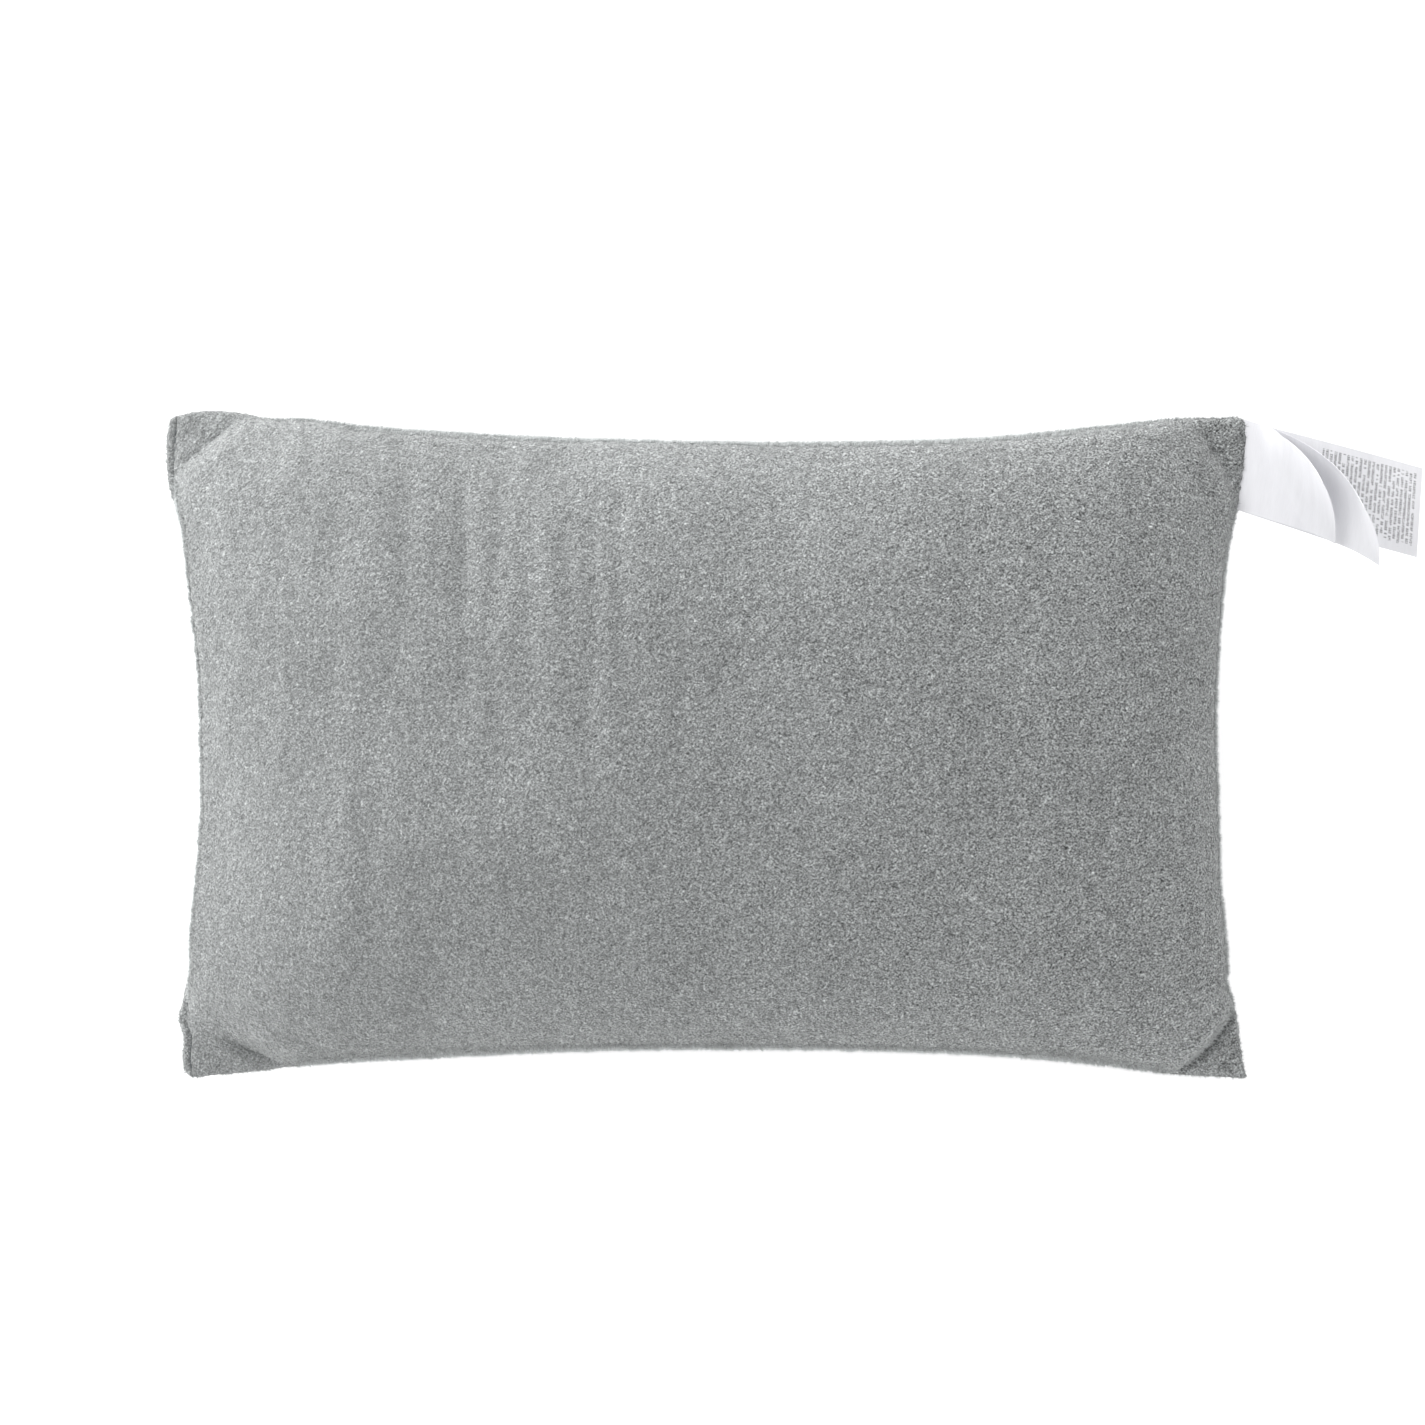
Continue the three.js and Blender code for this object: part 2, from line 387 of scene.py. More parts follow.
STEPS_PER_CELL = 3
RIM_PLACES = (0.04, 0.12, 0.25, 0.5)       # extra grid lines inside the first cell of each side
LIP_HALF_THICKNESS = 1.5 * MM
LIP_COLUMNS = 7                  # grid columns over the closing seam's lip
TUFT_HEIGHT = 0.18 * MM
FILL_INSET = 3.5 * MM
PILE_FIBRES = 48000              # in each piece of pile
PILE_LENGTH = (0.9 * MM, 2.3 * MM)
PILE_RADIUS = (0.09 * MM, 0.17 * MM)
PILE_AT_RIM = 9                  # how much denser the fibres are where the cloth turns steep
STITCH_LENGTH = 2.7 * MM
STITCH_PITCH = 3.5 * MM
STITCH_RADIUS = 0.28 * MM
STITCH_START = 4 * MM


def fine_places(cells):
    """Grid lines in cells: even steps, with closer ones by the seams."""
    inner = np.arange(STEPS_PER_CELL, (cells - 1) * STEPS_PER_CELL + 1) / STEPS_PER_CELL
    near = np.array([0, *RIM_PLACES])
    return np.concatenate([near, inner, (cells - near)[::-1]])


def refine(grid):
    rows_x = cubic_rows(fine_places(grid.shape[0] - 1), grid.shape[0])
    rows_y = cubic_rows(fine_places(grid.shape[1] - 1), grid.shape[1])
    return np.einsum("ai,bj,ijk->abk", rows_x, rows_y, grid)


def rest_on_floor(back):
    """Flattens the belly where it meets the floor, with a soft bend round the patch."""
    softness = 2.5 * MM
    depth = back[..., 2] + SEAM_Z
    lifted = (depth + np.sqrt(depth**2 + softness**2)) / 2
    back[..., 2] = lifted - SEAM_Z
    return back


# Soft wrinkles on the front, in millimetres: the middle's place, the length, the width and the
# depth, and how far the wrinkle leans towards +X over its length.
WRINKLES = (
    (-102, -10, 240, 20, 1.9, 0),
    (-137, 30, 120, 6.5, 1.3, 3),
    (-113, 58, 90, 5.5, 1.6, 4),
    (-90, 60, 80, 4.5, 1.8, -2),
    (-78, 40, 120, 5.0, 1.1, 3),
    (-52, 66, 70, 4.5, 1.9, -4),
    (-44, 36, 110, 4.5, 1.2, 4),
    (-33, 62, 70, 4.0, 1.5, -1),
    (-124, -48, 90, 8.0, 1.0, 0),
    (92, 66, 60, 4.0, 1.4, 3),
)


def wrinkle_depth(x, y):
    """How far the front sinks at a place: its wrinkles, fine streaks, and a slow swell."""
    depth = 0
    for middle_x, middle_y, length, width, deep, lean in WRINKLES:
        along = (y / MM - middle_y) / length
        across = (x / MM - middle_x - lean * along) / width
        depth = depth + deep * MM * np.exp(-(across**2) - (along * 2) ** 4)
    streaks = Noise(8 * MM, 32 * MM, 11)(x, y)
    upper_left = smoothstep(70 * MM, -100 * MM, x) * smoothstep(-70 * MM, 35 * MM, y)
    swell = Noise(55 * MM, 40 * MM, 12)(x, y)
    uneven = 0.8 + 0.7 * Noise(24 * MM, 17 * MM, 13)(x, y)
    return uneven * depth + 0.5 * MM * streaks * (0.2 + upper_left) + 1.7 * MM * swell


def sink_creases(grid, sign):
    """Sinks the crease between each ear and the body."""
    x, y = grid[..., 0], grid[..., 1]
    for ear in EARS:
        first, last = ear.deepest
        inward = past_crease(x, y, ear) - ear.width
        place = along_crease(x, y, ear)
        strength = smoothstep(first - 0.3, first, place) * smoothstep(last + 0.3, last, place)
        groove = np.exp(-((inward / ear.width) ** 2))
        ridge = 0.35 * np.exp(-((inward / ear.width - 2.6) ** 2))
        shift = ear.deep * strength * (ridge - groove)
        grid[..., 2] += sign * shift * smoothstep(0, 5 * MM, np.abs(grid[..., 2]))
    return grid


def side_distances(grid):
    """Distances from each grid point to the left side, and to the nearest of the other three."""
    step_x = np.linalg.norm(np.diff(grid, axis=0), axis=-1)
    step_y = np.linalg.norm(np.diff(grid, axis=1), axis=-1)
    zero_x = np.zeros((1, grid.shape[1]))
    zero_y = np.zeros((grid.shape[0], 1))
    from_left = np.concatenate([zero_x, np.cumsum(step_x, 0)])
    from_right = np.concatenate([np.cumsum(step_x[::-1], 0)[::-1], zero_x])
    from_bottom = np.concatenate([zero_y, np.cumsum(step_y, 1)], 1)
    from_top = np.concatenate([np.cumsum(step_y[:, ::-1], 1)[:, ::-1], zero_y], 1)
    return from_left, np.minimum(np.minimum(from_right, from_bottom), from_top)


def quarter_round(distance, radius):
    """Rises from 0 to 1 over radius as a quarter circle does, and stays there."""
    return np.sqrt(1 - (1 - np.clip(distance / radius, 0, 1)) ** 2)


def thicken(grid, sign):
    """Stands the pile's surface off the sewn cloth, and draws it in a little at the seams."""
    from_left, from_turned = side_distances(grid)
    raised = quarter_round(from_turned, 1.7 * CLOTH)
    by_lip = 0.15 + 0.85 * quarter_round(from_left, 2.2 * CLOTH)
    off = grid_normals(grid) * (sign * CLOTH * by_lip)[..., None]
    off[..., :2] *= (SEAM_COVER + (1 - SEAM_COVER) * raised)[..., None]
    off[..., 2] *= raised
    return grid + off


def lip_columns(rim, sign):
    """The closing seam's flat lip, as grid columns from its outer edge to the stitching."""
    y = rim[:, 1]
    sway = Noise(26 * MM, 1, 21)(y, 0 * y)
    ripple = Noise(9 * MM, 1, 22)(y, 0 * y)
    ends = quarter_round(np.minimum(y - y.min(), y.max() - y), 1.5 * CLOTH)
    columns = []
    for share in (1.0, 0.97, 0.88, 0.72, 0.52, 0.33, 0.16):
        column = rim.copy()
        column[:, 0] -= LIP_WIDTH * share * (1 + 0.1 * ripple)
        puffed = math.sqrt(max(0, 1 - share**6)) * (1 - 0.6 * (1 - share) ** 3)
        column[:, 2] += sign * LIP_HALF_THICKNESS * puffed * ends + 0.9 * MM * share * sway
        columns.append(column)
    return np.stack(columns)


def round_corners(grid):
    """Draws each corner of the outline in to a small radius."""
    for column, row, radius in ((0, 0, 4), (0, -1, 3), (-1, 0, 1.6), (-1, -1, 4.5)):
        corner = grid[column, row].copy()
        inward = np.array([1 if column == 0 else -1, 1 if row == 0 else -1])
        short = radius * MM - (grid[..., :2] - corner[:2]) * inward
        near = (short > 0).all(-1)
        squeezed = short * (short.max(-1) / np.maximum(np.hypot(*short.T).T, 1e-9))[..., None]
        grid[near, :2] += ((short - squeezed) * inward)[near]
    return grid


def tufted(grid, sign, seed):
    """Raises and sinks each point a little, as the pile's tufts do."""
    steep = 1 - np.abs(grid_normals(grid)[..., 2])
    height = np.clip(np.random.default_rng(seed).normal(0, 1, grid.shape[:2]), -2, 2)
    height *= TUFT_HEIGHT * (1 + 0.5 * smoothstep(0.3, 0.8, steep))
    height[:LIP_COLUMNS] *= 0.5
    height[:, :3] *= 0.4
    height[:, -3:] *= 0.4
    return grid + grid_normals(grid) * (sign * height)[..., None]


def cover_grids():
    front, back, held = starting_form()
    front, back = inflate(front, back, held)
    front, back = soften_creases(front), soften_creases(back)
    front, back = refine(front), refine(back)
    edge = smoothstep(0, 25 * MM, np.minimum(*side_distances(front)))
    sunk = wrinkle_depth(front[..., 0], front[..., 1]) * edge
    front = front - grid_normals(front) * sunk[..., None]
    front, back = sink_creases(front, 1), sink_creases(back, -1)
    rim = front[0].copy()
    front, back = thicken(front, 1), rest_on_floor(thicken(back, -1))
    front = np.concatenate([lip_columns(rim, 1), front])
    back = np.concatenate([lip_columns(rim, -1), back])
    front, back = round_corners(front), round_corners(back)
    front, back = tufted(front, 1, 61), tufted(back, -1, 62)
    back[..., 2] = np.maximum(back[..., 2], -SEAM_Z)
    back[0], back[-1], back[:, 0], back[:, -1] = front[0], front[-1], front[:, 0], front[:, -1]
    front[..., 2] += SEAM_Z
    back[..., 2] += SEAM_Z
    return front, back


# ---------------------------------------------------------------- materials

# The two ways that the pile lies brushed, each an angle from X in radians.
NAP_ANGLES = (0.75, -0.55)
PILE_TONES_AND_HIGHLIGHTS = (0.85, 1.30, 1.75, 2.25, 2.80)     # the fibres' colours, as shares of FLEECE: random tone, and mostly lighter than the cloth as a painted highlight for the light the fibres catch


def new_material(name, colour, roughness):
    material = bpy.data.materials.new(name)
    material.use_nodes = True
    shader = material.node_tree.nodes["Principled BSDF"]
    shader.inputs["Base Color"].default_value = (*colour, 1)
    shader.inputs["Roughness"].default_value = roughness
    return material, material.node_tree, shader


def node(tree, kind, inputs=(), **settings):
    made = tree.nodes.new(kind)
    for key, value in settings.items():
        setattr(made, key, value)
    for key, value in dict(inputs).items():
        if isinstance(value, bpy.types.NodeSocket):
            tree.links.new(value, made.inputs[key])
        else:
            made.inputs[key].default_value = value
    return made


def scaled_place(tree, scale):
    """Object coordinates stretched by scale, in features per metre along each axis."""
    place = node(tree, "ShaderNodeTexCoord").outputs["Object"]
    return node(tree, "ShaderNodeVectorMath", {0: place, 1: scale}, operation="MULTIPLY").outputs[0]


def noise(tree, scale, detail=2.0, roughness=0.5):
    inputs = {"Vector": scaled_place(tree, scale), "Scale": 1.0, "Detail": detail}
    made = node(tree, "ShaderNodeTexNoise", inputs)
    made.inputs["Roughness"].default_value = roughness
    return made.outputs["Fac"]


def between(tree, value, low, high):
    """value, which runs from 0.3 to 0.7 on most of a noise, spread from low to high."""
    inputs = {"Value": value, "From Min": 0.3, "From Max": 0.7, "To Min": low, "To Max": high}
    return node(tree, "ShaderNodeMapRange", inputs).outputs["Result"]


def product(tree, *values):
    result = values[0]
    for value in values[1:]:
        inputs = {0: result, 1: value}
        result = node(tree, "ShaderNodeMath", inputs, operation="MULTIPLY").outputs[0]
    return result


FLEECE = (0.236, 0.245, 0.245)
SHEEN = 0.5
TUFTS_RUFFLED_AND_SHADED = (0.80, 1.38)           # how strongly the pile shows in the colour at the left end and at the right, with painted shade between the tufts
RUFFLED_AND_SHADED_REACH = 0.17              # how far those two ends are from the middle


def set_sheen(shader):
    shader.inputs["Sheen Weight"].default_value = SHEEN
    shader.inputs["Sheen Roughness"].default_value = 0.45
    shader.inputs["Sheen Tint"].default_value = (0.96, 0.97, 0.97, 1)
    shader.inputs["Specular IOR Level"].default_value = 0.1


def nap_noise(tree, angle, scale, detail, roughness):
    """Noise whose features are stretched along a nap direction."""
    place = node(tree, "ShaderNodeTexCoord").outputs["Object"]
    turned = node(tree, "ShaderNodeVectorRotate", {"Vector": place, "Angle": -angle})
    inputs = {0: turned.outputs[0], 1: scale}
    stretched = node(tree, "ShaderNodeVectorMath", inputs, operation="MULTIPLY")
    inputs = {"Vector": stretched.outputs[0], "Scale": 1.0, "Detail": detail}
    made = node(tree, "ShaderNodeTexNoise", inputs)
    made.inputs["Roughness"].default_value = roughness
    return made.outputs["Fac"]


def ruffled_and_shaded(tree):
    """The pile lies smooth at the pillow's left end and stands up more towards its right, and the
    shade between its tufts is painted deeper towards the right.
    """
    place = node(tree, "ShaderNodeTexCoord").outputs["Object"]
    across = node(tree, "ShaderNodeSeparateXYZ", {0: place}).outputs["X"]
    limits = {"Value": across, "From Min": -RUFFLED_AND_SHADED_REACH, "From Max": RUFFLED_AND_SHADED_REACH}
    limits.update({"To Min": TUFTS_RUFFLED_AND_SHADED[0], "To Max": TUFTS_RUFFLED_AND_SHADED[1]})
    return node(tree, "ShaderNodeMapRange", limits).outputs[0]


def with_contrast(tree, shade, contrast):
    """Moves a shade away from 1 by a factor, and keeps it above black."""
    off = node(tree, "ShaderNodeMath", {0: shade, 1: 1.0}, operation="SUBTRACT").outputs[0]
    inputs = {0: off, 1: contrast, 2: 1.0}
    strong = node(tree, "ShaderNodeMath", inputs, operation="MULTIPLY_ADD").outputs[0]
    return node(tree, "ShaderNodeMath", {0: strong, 1: 0.1}, operation="MAXIMUM").outputs[0]


def fleece_material(name):
    """Brushed fleece: fine tufts and short strokes, soft streaks and patches, and sheen."""
    material, tree, shader = new_material(name, FLEECE, 0.95)
    first, second = (nap_noise(tree, angle, (900, 1900, 1400), 2, 0.7) for angle in NAP_ANGLES)
    tufts = nap_noise(tree, 0.0, (1300, 1300, 1300), 2, 0.6)
    curls = noise(tree, (620, 620, 620), 1, 0.5)
    clumps = noise(tree, (330, 330, 330), 3, 0.6)
    streaks = noise(tree, (60, 8, 30), 2, 0.5)
    patches = noise(tree, (16, 16, 16), 3, 0.5)
    shade = product(
        tree,
        between(tree, first, 0.54, 1.46),
        between(tree, second, 0.54, 1.46),
        between(tree, tufts, 0.46, 1.54),
        between(tree, clumps, 0.88, 1.12),
        between(tree, streaks, 0.96, 1.04),
        between(tree, patches, 0.95, 1.05),
    )
    # The tufts' pattern shows more strongly towards the right: partly the pile, partly painted shade
    # between the tufts.
    shade = with_contrast(tree, shade, ruffled_and_shaded(tree))
    tinted = node(tree, "ShaderNodeVectorMath", {0: FLEECE, 1: shade}, operation="MULTIPLY")
    tree.links.new(tinted.outputs[0], shader.inputs["Base Color"])
    height = product(
        tree,
        between(tree, first, 0.3, 1),
        between(tree, tufts, 0.3, 1),
        between(tree, curls, 0.2, 1),
    )
    raised = node(tree, "ShaderNodeBump", {"Height": height, "Distance": 0.0014, "Strength": 0.85})
    tree.links.new(raised.outputs["Normal"], shader.inputs["Normal"])
    set_sheen(shader)
    return material


def pile_materials():
    """A few shades of one fibre: random tone, and painted highlights, lighter than the cloth, for
    the light the fibres catch.
    """
    made = []
    for number, shade in enumerate(PILE_TONES_AND_HIGHLIGHTS):
        colour = tuple(c * shade for c in FLEECE)
        material, _, shader = new_material(f"pile_{number}", colour, 0.9)
        set_sheen(shader)
        made.append(material)
    return made


def thread_material(name, colour):
    material, tree, shader = new_material(name, colour, 0.7)
    twist = noise(tree, (2500, 2500, 2500), 1)
    raised = node(tree, "ShaderNodeBump", {"Height": twist, "Distance": 0.0001, "Strength": 0.5})
    tree.links.new(raised.outputs["Normal"], shader.inputs["Normal"])
    return material


def fibre_material(name):
    material, tree, shader = new_material(name, (0.80, 0.80, 0.77), 0.9)
    strands = noise(tree, (260, 90, 200), 4, 0.7)
    raised = node(tree, "ShaderNodeBump", {"Height": strands, "Distance": 0.002, "Strength": 0.9})
    tree.links.new(raised.outputs["Normal"], shader.inputs["Normal"])
    return material


SATIN = (0.555, 0.555, 0.575)
SATIN_PAINTED_GLOW = 0.135                # painted light: a faint glow that stands in for light coming through the thin satin, and lifts its shaded parts
INK = 0.22                       # how much of the satin's brightness is left under a mark
ROWS_IN_BACK_LEAF = 41
SIGNS_IN_A_ROW = 44
PRINT_STARTS = 0.42              # the share of the back leaf's length before its first row


def satin_material(name, print_from=None):
    """White woven ribbon. print_from is the share of its length where rows of marks begin."""
    material, tree, shader = new_material(name, SATIN, 0.45)
    # Painted light: the satin glows a little, in place of the light that comes through it and fills
    # its shade.
    shader.inputs["Emission Color"].default_value = (0.95, 0.96, 1.0, 1)
    shader.inputs["Emission Strength"].default_value = SATIN_PAINTED_GLOW
    weave = noise(tree, (3200, 900, 2000), 1)
    raised = node(tree, "ShaderNodeBump", {"Height": weave, "Distance": 0.00006, "Strength": 0.6})
    tree.links.new(raised.outputs["Normal"], shader.inputs["Normal"])
    along, across = ribbon_place(tree)
    threads = ribbon_noise(tree, along, across, 260, 7)
    bands = ribbon_noise(tree, along, across, 11, 1.5)
    shade = product(tree, between(tree, threads, 0.965, 1.035), between(tree, bands, 0.96, 1.04))
    if print_from is not None:
        ink = printed_marks(tree, along, across, print_from)
        left = {"Value": ink, "From Min": 0.0, "From Max": 1.0, "To Min": 1.0, "To Max": INK}
        shade = product(tree, shade, node(tree, "ShaderNodeMapRange", left).outputs["Result"])
    tinted = node(tree, "ShaderNodeVectorMath", {0: SATIN, 1: shade}, operation="MULTIPLY")
    tree.links.new(tinted.outputs[0], shader.inputs["Base Color"])
    return material


def ribbon_place(tree):
    """The place on a leaf: how far along it, and how far across it, each from 0 to 1."""
    uv = node(tree, "ShaderNodeTexCoord").outputs["UV"]
    split = node(tree, "ShaderNodeSeparateXYZ", {0: uv})
    return split.outputs[0], split.outputs[1]


def ribbon_noise(tree, along, across, count_along, count_across):
    place = node(tree, "ShaderNodeCombineXYZ", {0: along, 1: across}).outputs[0]
    scale = (count_along, count_across, 1)
    stretched = node(tree, "ShaderNodeVectorMath", {0: place, 1: scale}, operation="MULTIPLY")
    inputs = {"Vector": stretched.outputs[0], "Scale": 1.0, "Detail": 2.0}
    return node(tree, "ShaderNodeTexNoise", inputs).outputs["Fac"]


def printed_marks(tree, along, across, start):
    """Rows of small plain marks across the ribbon, in place of any print: 1 is full ink."""

    def maths(operation, a, b=0.0):
        return node(tree, "ShaderNodeMath", {0: a, 1: b}, operation=operation).outputs[0]

    def dice(*parts):
        seed = node(tree, "ShaderNodeCombineXYZ", dict(enumerate(parts))).outputs[0]
        return node(tree, "ShaderNodeTexWhiteNoise", {"Vector": seed}).outputs["Value"]

    row = maths("MULTIPLY", along, float(ROWS_IN_BACK_LEAF))
    row_number = maths("FLOOR", row)
    in_row = maths("LESS_THAN", maths("FRACT", row), 0.62)
    sign = maths("MULTIPLY", across, float(SIGNS_IN_A_ROW))
    in_sign = maths("LESS_THAN", maths("FRACT", sign), 0.78)
    written = maths("GREATER_THAN", dice(maths("FLOOR", sign), row_number), 0.15)
    part_up = maths("FLOOR", maths("MULTIPLY", row, 5.0))
    part_on = maths("FLOOR", maths("MULTIPLY", sign, 3.0))
    broken = maths("GREATER_THAN", dice(part_on, part_up), 0.22)
    ragged = maths("ADD", maths("MULTIPLY", dice(row_number, 3.5), 0.10), 0.06)
    in_margins = (
        maths("GREATER_THAN", across, ragged),
        maths("LESS_THAN", across, 0.92),
        maths("GREATER_THAN", along, start),
        maths("LESS_THAN", along, 0.975),
    )
    return product(tree, in_row, in_sign, written, broken, *in_margins)


# ---------------------------------------------------------------- pieces

def make_cover():
    front, back = cover_grids()
    points, faces, _, _ = closed_pair(front, back)
    cover = mesh_object("fleece_cover", points, faces)
    cover.data.materials.append(fleece_material("fleece"))
    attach(cover, "pillow")
    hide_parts("front_panel", "back_panel")
    return front, back


def make_pile(name, grid, sign, seed, materials):
    """Short fibres standing off the cover: thin closed spikes, combed roughly along the nap."""
    dice = np.random.default_rng(seed)
    columns, rows = grid.shape[:2]
    side_a = grid[1:, :-1] - grid[:-1, :-1]
    side_b = grid[:-1, 1:] - grid[:-1, :-1]
    area = np.linalg.norm(np.cross(side_a, side_b), axis=-1).ravel()
    steep = 1 - np.abs(grid_normals(grid)[:-1, :-1, 2]).ravel()
    share = area * (1 + PILE_AT_RIM * smoothstep(0.45, 0.9, steep))
    cell = dice.choice(len(area), PILE_FIBRES, p=share / share.sum())
    i, j = np.divmod(cell, rows - 1)
    s, t = dice.random((2, PILE_FIBRES, 1))

    def read(field):
        low = field[i, j] * (1 - s) + field[i + 1, j] * s
        high = field[i, j + 1] * (1 - s) + field[i + 1, j + 1] * s
        return low * (1 - t) + high * t

    normal = read(grid_normals(grid)) * sign
    root = read(grid) - normal * 0.1 * MM
    angle = dice.choice(NAP_ANGLES, PILE_FIBRES) + dice.normal(0, 0.7, PILE_FIBRES)
    comb = np.stack([np.cos(angle), np.sin(angle), 0 * angle], -1)
    comb -= normal * (comb * normal).sum(-1, keepdims=True)
    lean = np.radians(dice.uniform(15, 65, (PILE_FIBRES, 1)))
    reach = dice.uniform(*PILE_LENGTH, (PILE_FIBRES, 1))
    tip = root + (normal * np.cos(lean) + comb * np.sin(lean)) * reach
    first = np.cross(normal, comb + 1e-6)
    first /= np.linalg.norm(first, axis=-1, keepdims=True)
    second = np.cross(normal, first)
    radius = dice.uniform(*PILE_RADIUS, (PILE_FIBRES, 1))
    corners = []
    for turn in (0, 2 * math.pi / 3, 4 * math.pi / 3):
        corners.append(root + radius * (first * math.cos(turn) + second * math.sin(turn)))
    points = np.stack([*corners, tip], 1).reshape(-1, 3)
    points[:, 2] = np.maximum(points[:, 2], 0)
    pattern = np.array([(0, 1, 3), (1, 2, 3), (2, 0, 3), (2, 1, 0)])
    faces = (np.arange(PILE_FIBRES)[:, None, None] * 4 + pattern).reshape(-1, 3)
    pile = mesh_object(name, points, faces)
    for material in materials:
        pile.data.materials.append(material)
    # Painted highlight: where the cloth turns steep the fibres take lighter shades, in place of the
    # light that shines through them on the rims; the spread round that is random tone.
    middle = 1.2 + 1.9 * smoothstep(0.4, 0.9, 1 - np.abs(normal[:, 2]))
    shade = np.clip(dice.normal(middle, 0.9).round(), 0, len(materials) - 1)
    pile.data.polygons.foreach_set("material_index", np.repeat(shade.astype(int), 4))
    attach(pile, "pillow")


def make_fill(front, back):
    """The loose fibre inside: the cover's form drawn in, with the lumps that teased fibre has."""
    grids = []
    for grid, sign, seed in ((front, 1, 31), (back, -1, 32)):
        core = grid[LIP_COLUMNS + 4:-4:3, 4:-4:3].copy()
        core = core - grid_normals(core) * (sign * FILL_INSET)
        thickness = np.abs(core[..., 2] - SEAM_Z)
        lumps = Noise(17 * MM, 15 * MM, seed)(core[..., 0], core[..., 1])
        core[..., 2] -= sign * (1 + lumps) * 1.2 * MM * smoothstep(0, 15 * MM, thickness)
        core[..., 2] = SEAM_Z + sign * np.maximum(sign * (core[..., 2] - SEAM_Z), 0.4 * MM)
        grids.append(core)
    front, back = grids
    for index in (np.s_[0], np.s_[-1], np.s_[:, 0], np.s_[:, -1]):
        front[index] = back[index] = (front[index] + back[index]) / 2
    points, faces, _, _ = closed_pair(front, back)
    fill = mesh_object("loose_fibre_fill", points, faces)
    fill.data.materials.append(fibre_material("fibre"))
    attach(fill, "pillow")
    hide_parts("fibre_fill")


def tube(path, radius, sides=8):
    """Points and faces of a closed round tube along a short path."""
    path = np.asarray(path)
    along = np.gradient(path, axis=0)
    along /= np.linalg.norm(along, axis=1, keepdims=True)
    first = np.cross(along, (1.0, 0, 0))
    first /= np.linalg.norm(first, axis=1, keepdims=True)
    second = np.cross(along, first)
    turn = np.arange(sides) * 2 * math.pi / sides
    ring = first[:, None] * np.cos(turn)[:, None] + second[:, None] * np.sin(turn)[:, None]
    points = (path[:, None] + ring * np.asarray(radius).reshape(-1, 1, 1)).reshape(-1, 3)
    faces = []
    for step in range(len(path) - 1):
        for side in range(sides):
            a, b = step * sides + side, step * sides + (side + 1) % sides
            faces.append((a, b, b + sides, a + sides))
    faces.append(tuple(range(sides))[::-1])
    faces.append(tuple(range(len(points) - sides, len(points))))
    return points, faces


def make_closing_stitches(name, stands_for, grid, sign, thread):
    """The lockstitch down the closing seam: one short bowed thread for each stitch."""
    line = grid[LIP_COLUMNS]
    run = np.concatenate([[0], np.cumsum(np.linalg.norm(np.diff(line, axis=0), axis=1))])
    points, faces = [], []
    count = int((run[-1] - 2 * STITCH_START) / STITCH_PITCH)
    for number in range(count):
        start = STITCH_START + number * STITCH_PITCH
        places = start + np.linspace(0, STITCH_LENGTH, 7)
        path = np.stack([np.interp(places, run, line[:, k]) for k in range(3)], -1)
        bow = np.sin(np.linspace(0, math.pi, 7))
        path[:, 2] += sign * (STITCH_RADIUS * (1.9 * bow - 0.9) + 0.4 * MM)
        path[:, 0] += seeded.normal(0, 0.08 * MM)
        path[:, 0] += np.linspace(-1, 1, 7) * seeded.normal(0, 0.1 * MM)
        own_points, own_faces = tube(path, STITCH_RADIUS * (0.8 + 0.2 * bow))
        base = sum(len(p) for p in points)
        points.append(own_points)
        faces += [tuple(base + corner for corner in face) for face in own_faces]
    mesh = bpy.data.meshes.new(name)
    mesh.from_pydata(np.concatenate(points).tolist(), [], faces)
    mesh.polygons.foreach_set("use_smooth", [True] * len(mesh.polygons))
    stitches = link(bpy.data.objects.new(name, mesh))
    stitches.data.materials.append(thread)
    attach(stitches, "pillow")
    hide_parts(stands_for)


# Each leaf's length along its lower edge and how much shorter its upper edge is, in mm; its
# angle in the picture's plane; how fast it bends down; and the body it rides on. The free upper
# corner of the two short leaves rolls up about a slanting line: roll gives the slant, where the
# rolling starts on the way to that corner in mm, the turn it ends with, and how it grows.
LEAVES = {
    "back": dict(length=71, short=6.1, angle=-14, bend=5.0, roll=(43, 60, 6, 1.0), body="leaf_back"),
    "middle": dict(
        length=59.5, short=0, angle=-18, bend=4.6, roll=(42, 22.7, 101, 0.51), body="leaf_middle"
    ),
    "front": dict(
        length=39.5, short=0, angle=-17, bend=4.2, roll=(44, 18.4, 99, 0.43), body="leaf_front"
    ),
}
LEAF_WIDTH = 33 * MM
LEAF_THICKNESS = 0.2 * MM
LEAF_TUCK = 3 * MM                # how far a leaf's root reaches in from its hinge line
LEAF_FLAT_ROOT = 15 * MM          # over this length the seam lets a leaf leave its plane


def rolled_up(run, across, from_root, corner_run, roll):
    """Where points of a flat ribbon lie once its far upper corner rolls up: run, across, lift."""
    slant, start, end_turn, growth = roll
    out_run, out_across = math.sin(math.radians(slant)), math.cos(math.radians(slant))
    outward = run * out_run + across * out_across
    sideways = run * out_across - across * out_run
    full_arc = corner_run * out_run + LEAF_WIDTH * out_across - start * MM
    arc = np.maximum(outward - start * MM, 0)
    freed = smoothstep(0, LEAF_FLAT_ROOT, from_root)
    parts = (np.arange(40) + 0.5) / 40
    turn = math.radians(end_turn) * (arc[..., None] * parts / full_arc) ** growth * freed[..., None]
    outward = np.minimum(outward, start * MM) + arc * np.cos(turn).mean(-1)
    lift = arc * np.sin(turn).mean(-1)
    return (
        outward * out_run + sideways * out_across,
        outward * out_across - sideways * out_run,
        lift,
    )


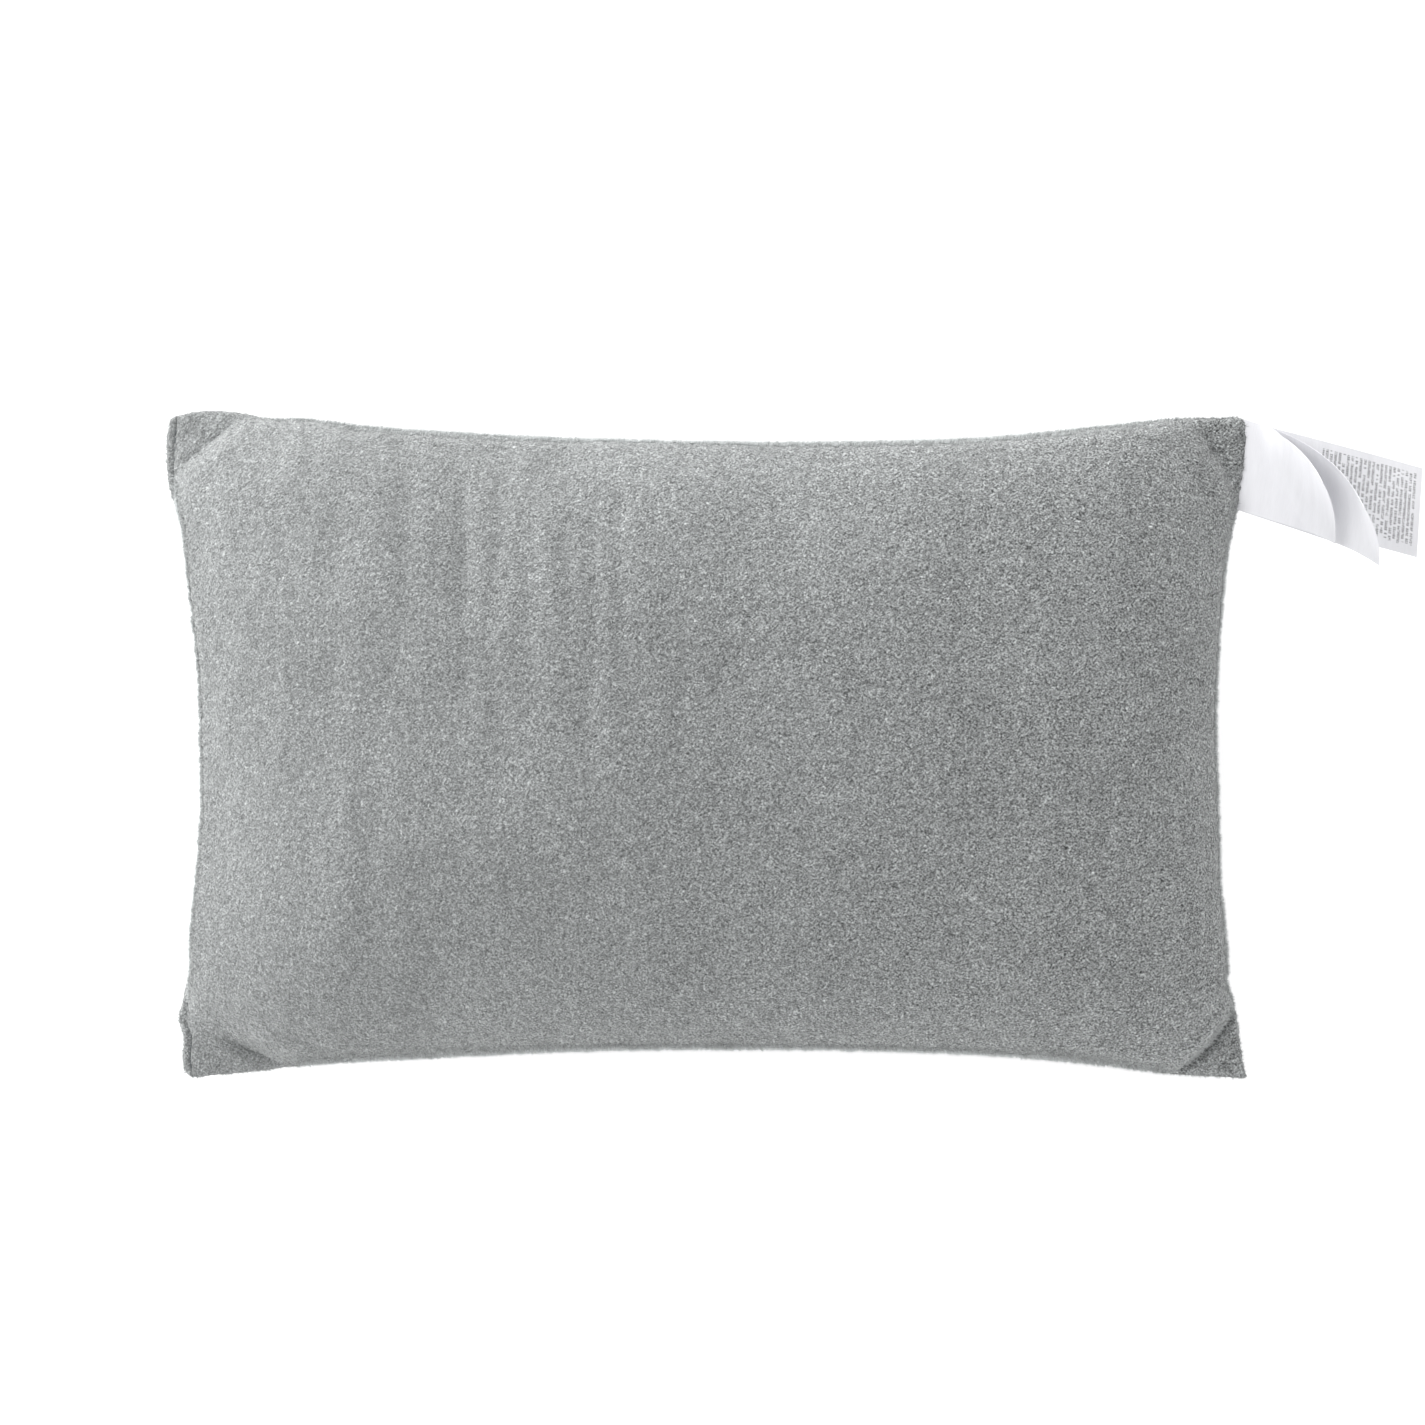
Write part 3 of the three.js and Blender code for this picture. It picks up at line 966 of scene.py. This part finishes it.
def make_leaf(name, length, short, angle, bend, roll, body):
    """A thin satin leaf from its hinge line, drooping a little, with its corner rolled up."""
    joint = next(j for j in frame["joints"] if j["child"] == body)
    root = np.array(joint["pos_m"])
    seam_way = -np.array(joint["axis"])
    turn = math.radians(angle)
    along_way = np.array((math.cos(turn), math.sin(turn), 0))
    across_way = np.array((-math.sin(turn), math.cos(turn), 0))
    root_slant = seam_way @ along_way / (seam_way @ across_way)
    tucked = -LEAF_TUCK / (length * MM)
    far = np.concatenate([np.linspace(tucked, 0, 5)[:-1], np.linspace(0, 1, 57)])
    far, side = np.meshgrid(far, np.linspace(0, 1, 37), indexing="ij")
    across = side * LEAF_WIDTH
    corner_run = (length - short) * MM
    from_root = far * (length * MM - short * MM * side - root_slant * across)
    run = from_root + root_slant * across
    run, across, lift = rolled_up(run, across, from_root, corner_run, roll)
    drop = bend * np.maximum(from_root, 0) ** 2 / 2
    wave = 0.3 * MM * np.sin(far * 7 + side * 2.2) * np.maximum(far, 0) * (1 - 0.5 * side)
    height = lift - drop + wave
    grid = root + along_way * run[..., None] + across_way * across[..., None]
    grid[..., 2] += height
    offset = grid_normals(grid) * LEAF_THICKNESS / 2
    above, below = (grid + offset).reshape(-1, 3), (grid - offset).reshape(-1, 3)
    columns, rows = far.shape
    upper = np.arange(columns * rows).reshape(columns, rows)
    lower = upper + columns * rows
    faces = []
    for index, turned in ((upper, False), (lower, True)):
        corners = [index[:-1, :-1], index[1:, :-1], index[1:, 1:], index[:-1, 1:]]
        faces.append(np.stack(corners[::-1] if turned else corners, -1).reshape(-1, 4))
    rim = np.concatenate([upper[:, 0], upper[-1, 1:], upper[-2::-1, -1], upper[0, -2::-1]])
    loop_top, loop_low = rim, rim + columns * rows
    faces.append(np.stack([loop_low[:-1], loop_low[1:], loop_top[1:], loop_top[:-1]], -1))
    leaf = mesh_object("label_" + name, np.concatenate([above, below]), np.concatenate(faces))
    sharpen(leaf, 40)
    uv = leaf.data.uv_layers.new(name="ribbon")
    places = np.tile(np.stack([far, side], -1).reshape(-1, 2), (2, 1))
    corner = np.empty(len(leaf.data.loops), int)
    leaf.data.loops.foreach_get("vertex_index", corner)
    uv.data.foreach_set("uv", places[corner].ravel())
    print_from = PRINT_STARTS if name == "back" else None
    leaf.data.materials.append(satin_material("satin_" + name, print_from))
    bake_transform(leaf)
    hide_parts("label_leaf_" + name)


def sharpen(obj, degrees):
    """Marks as sharp each edge whose faces meet at more than an angle."""
    shape = bmesh.new()
    shape.from_mesh(obj.data)
    for edge in shape.edges:
        edge.smooth = len(edge.link_faces) < 2 or edge.calc_face_angle(0) < math.radians(degrees)
    shape.to_mesh(obj.data)
    shape.free()


def finish_inner_threads(thread):
    for name, obj in frame["nodes"].items():
        if name.endswith("_thread"):
            obj.data.materials.clear()
            obj.data.materials.append(thread)


# ---------------------------------------------------------------- studio

FRAMED_WIDTH = 0.5315                    # across the picture, in the seam's plane
VIEW_CENTRE = (0.9 * MM, 12.7 * MM)      # from the origin to the middle of the picture
FLOOR_GLOW = 0.54                        # the white floor is lit from behind as well
ROOM_LIGHT = 0.77
# Each soft light's place, its size in metres and its power in watts.
LIGHTS = {
    "over": ((-1.1, 0.6, 1.45), 1.0, 19.5),
    "left": ((-1.75, 0.40, 0.25), 0.8, 31),
    "upper": ((-0.3, 1.8, 0.55), 0.9, 27),
    "lower": ((-0.2, -1.8, 0.45), 0.9, 12),
    "right": ((1.8, -0.3, 0.16), 0.7, 12),
}
LIGHTS_AIM = (0, 0, 0.04)


def make_camera():
    camera = bpy.data.cameras.new("camera")
    camera.lens = 110
    camera.sensor_width = 36
    obj = link(bpy.data.objects.new("camera", camera))
    distance = FRAMED_WIDTH * camera.lens / camera.sensor_width
    obj.location = (*VIEW_CENTRE, SEAM_Z + distance)
    bpy.context.scene.camera = obj


def make_light(name, place, size, power):
    light = bpy.data.lights.new(name, "AREA")
    light.shape = "SQUARE"
    light.size = size
    light.energy = power
    obj = link(bpy.data.objects.new(name, light))
    obj.location = place
    obj.rotation_euler = (Vector(LIGHTS_AIM) - Vector(place)).to_track_quat("-Z", "Y").to_euler()
    obj.visible_camera = False


def make_studio():
    floor = mesh_object("floor", [(-6, -6, 0), (6, -6, 0), (6, 6, 0), (-6, 6, 0)], [(0, 1, 2, 3)])
    material, _, shader = new_material("floor_paper", (0.70, 0.70, 0.70), 0.9)
    shader.inputs["Specular IOR Level"].default_value = 0.1
    shader.inputs["Emission Color"].default_value = (1, 1, 1, 1)
    shader.inputs["Emission Strength"].default_value = FLOOR_GLOW
    floor.data.materials.append(material)
    world = bpy.data.worlds.new("studio")
    world.use_nodes = True
    world.node_tree.nodes["Background"].inputs["Color"].default_value = (1, 1, 1, 1)
    world.node_tree.nodes["Background"].inputs["Strength"].default_value = ROOM_LIGHT
    bpy.context.scene.world = world
    bpy.context.scene.view_settings.view_transform = "Standard"
    for name, (place, size, power) in LIGHTS.items():
        make_light(name, place, size, power)


make_camera()
cover_front, cover_back = make_cover()
pile_tones_and_highlights = pile_materials()
for number in (1, 2):
    make_pile(f"fleece_pile_front_{number}", cover_front, 1, 40 + number, pile_tones_and_highlights)
    make_pile(f"fleece_pile_back_{number}", cover_back, -1, 50 + number, pile_tones_and_highlights)
make_fill(cover_front, cover_back)
thread = thread_material("thread", (0.10, 0.11, 0.115))
for part, grid, sign in (("needle", cover_front, 1), ("bobbin", cover_back, -1)):
    replaced = f"closing_stitch_{part}_thread"
    make_closing_stitches(f"closing_{part}_stitches", replaced, grid, sign, thread)
for leaf_name, facts in LEAVES.items():
    make_leaf(leaf_name, **facts)
finish_inner_threads(thread)
make_studio()
